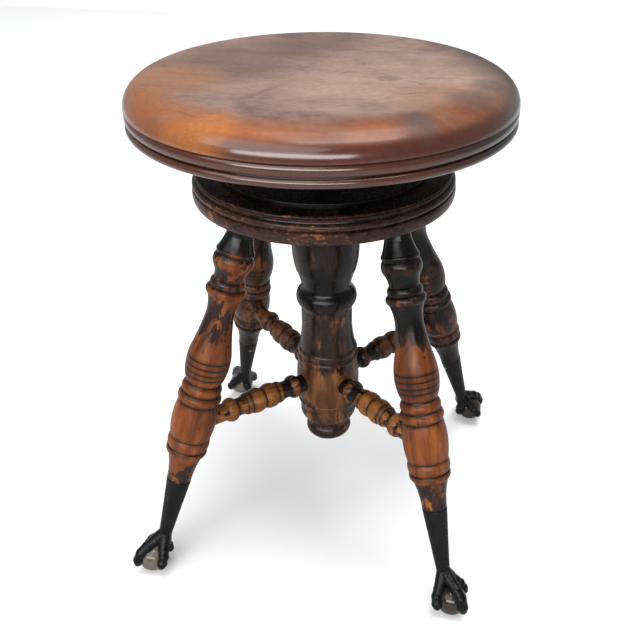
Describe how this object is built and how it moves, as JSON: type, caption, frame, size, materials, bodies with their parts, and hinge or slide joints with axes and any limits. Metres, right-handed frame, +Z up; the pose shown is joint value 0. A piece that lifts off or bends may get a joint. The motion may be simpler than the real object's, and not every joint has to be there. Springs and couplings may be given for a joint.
{
  "type": "revolving piano stool",
  "caption": "Round turned seat on a lift screw over a moulded block, centre column and splayed turned legs tied by stretchers, with cast claw feet holding glass balls.",
  "frame": {"origin": "on the floor, under the middle of the centre column", "axes": "+Z up along the column and the lift screw; the front of the stool faces -Y; the legs stand at the corners, 45 degrees off X and Y"},
  "size_m": [0.356, 0.356, 0.4922],
  "materials": {
    "seat_wood": "old french polish, worn honey brown at the front edge",
    "ebonised_wood": "black stain under shellac, worn through to brown at the edges",
    "leg_wood": "black stain worn through to orange brown wood",
    "stretcher_wood": "amber brown shellac with black left in the grooves",
    "foot_iron": "black japanned cast iron, glossy on the claws",
    "ball_glass": "clear pressed glass with a grey tint",
    "plate_iron": "plain dark cast iron",
    "screw_steel": "plain steel, oiled"
  },
  "bodies": {
    "base": {"base_block": "ebonised_wood", "centre_column": "ebonised_wood", "nut_flange": "plate_iron", "nut_flange_screws": "screw_steel", "leg_front_left": "leg_wood", "leg_front_right": "leg_wood", "leg_back_right": "leg_wood", "leg_back_left": "leg_wood", "stretcher_front_left": "stretcher_wood", "stretcher_front_right": "stretcher_wood", "stretcher_back_right": "stretcher_wood", "stretcher_back_left": "stretcher_wood", "claw_foot_front_left": "foot_iron", "claw_foot_front_right": "foot_iron", "claw_foot_back_right": "foot_iron", "claw_foot_back_left": "foot_iron", "claw_foot_screws": "screw_steel", "glass_ball_front_left": "ball_glass", "glass_ball_front_right": "ball_glass", "glass_ball_back_right": "ball_glass", "glass_ball_back_left": "ball_glass"},
    "collar": {"stop_collar": "screw_steel"},
    "seat": {"seat": "seat_wood", "seat_plate": "plate_iron", "seat_plate_screws": "screw_steel", "hub_pin": "screw_steel", "lift_screw": "screw_steel"}
  },
  "joints": [
    {"name": "seat_lift", "type": "slide", "parent": "base", "child": "collar", "axis": [0, 0, 1], "range_m": [-0.0128, 0.1017]},
    {"name": "seat_turn", "type": "hinge", "parent": "collar", "child": "seat", "pos_m": [0, 0, 0.2378], "axis": [0, 0, 1], "range_deg": [-720, 5760]}
  ],
  "couplings": [
    {"joint": "seat_lift", "follows": "seat_turn", "m_per_rad": 0.0010106}
  ]
}
